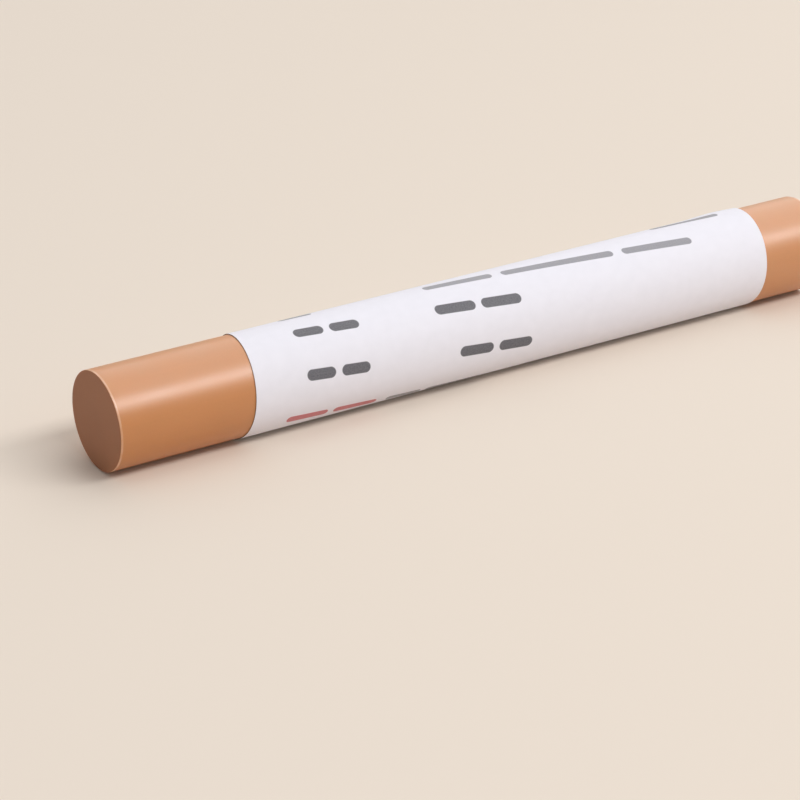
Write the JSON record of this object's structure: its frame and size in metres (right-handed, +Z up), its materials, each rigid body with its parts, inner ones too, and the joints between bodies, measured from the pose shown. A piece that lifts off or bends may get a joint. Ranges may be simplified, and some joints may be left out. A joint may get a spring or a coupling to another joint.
{
  "type": "furniture repair wax stick",
  "caption": "Round stick of coloured repair wax with a paper label wrapped a little askew round its middle; the bare ends are rubbed or melted into scratches in furniture.",
  "frame": {"origin": "on the surface that the stick lies on, below the middle of its length", "axes": "+X along the stick, from the end that is nearer to the viewer to the far one; +Y away from the front; +Z up"},
  "size_m": [0.0842, 0.0103, 0.0102],
  "materials": {
    "wax": "satin",
    "adhesive": "gloss",
    "label": "matte"
  },
  "bodies": {
    "root": {"wax_stick": "wax", "label_adhesive": "adhesive", "label_paper": "label"}
  },
  "joints": []
}
